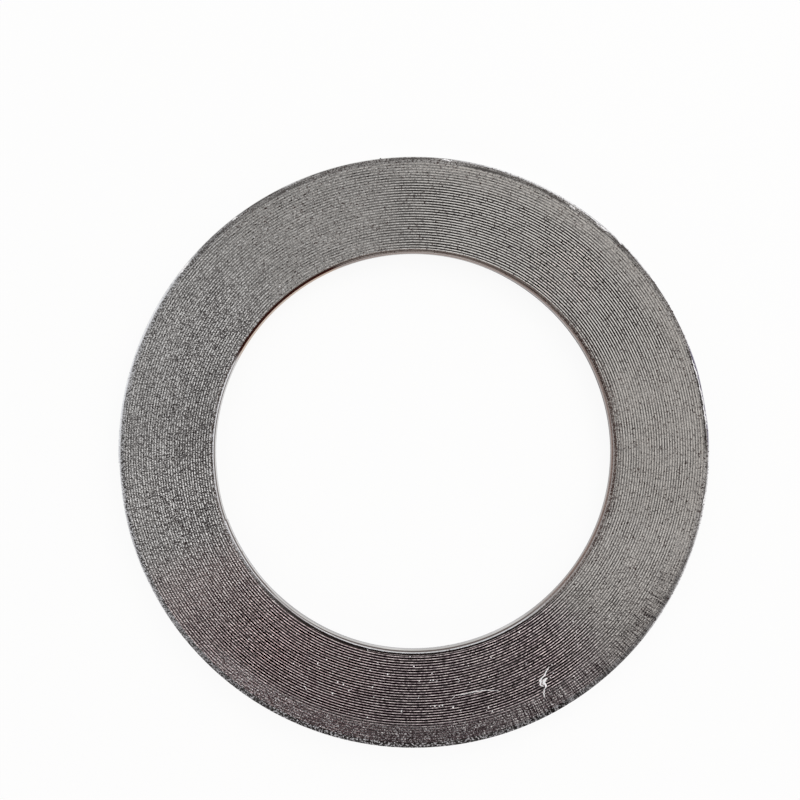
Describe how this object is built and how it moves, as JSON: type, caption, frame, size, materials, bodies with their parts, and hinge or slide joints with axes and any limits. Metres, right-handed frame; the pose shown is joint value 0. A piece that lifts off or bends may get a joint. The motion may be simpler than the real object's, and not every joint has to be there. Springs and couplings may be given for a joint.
{
  "type": "spiral wound gasket",
  "caption": "Flat sealing ring wound from V-section metal strip and graphite filler, with plain metal wraps at the bore and rim.",
  "frame": {"origin": "centre of the bore on the lower sealing face", "axes": "+Z along the bore axis, up through the thickness; the gasket lies flat on the XY plane"},
  "size_m": [0.15, 0.15, 0.0045],
  "materials": {
    "stainless_strip": "satin, with heat tint at the bore",
    "graphite_and_strip": "dark grey graphite foil between fine bright metal edges"
  },
  "bodies": {
    "root": {"inner_metal_wraps": "stainless_strip", "filled_winding": "graphite_and_strip", "outer_metal_wraps": "stainless_strip"}
  },
  "joints": []
}
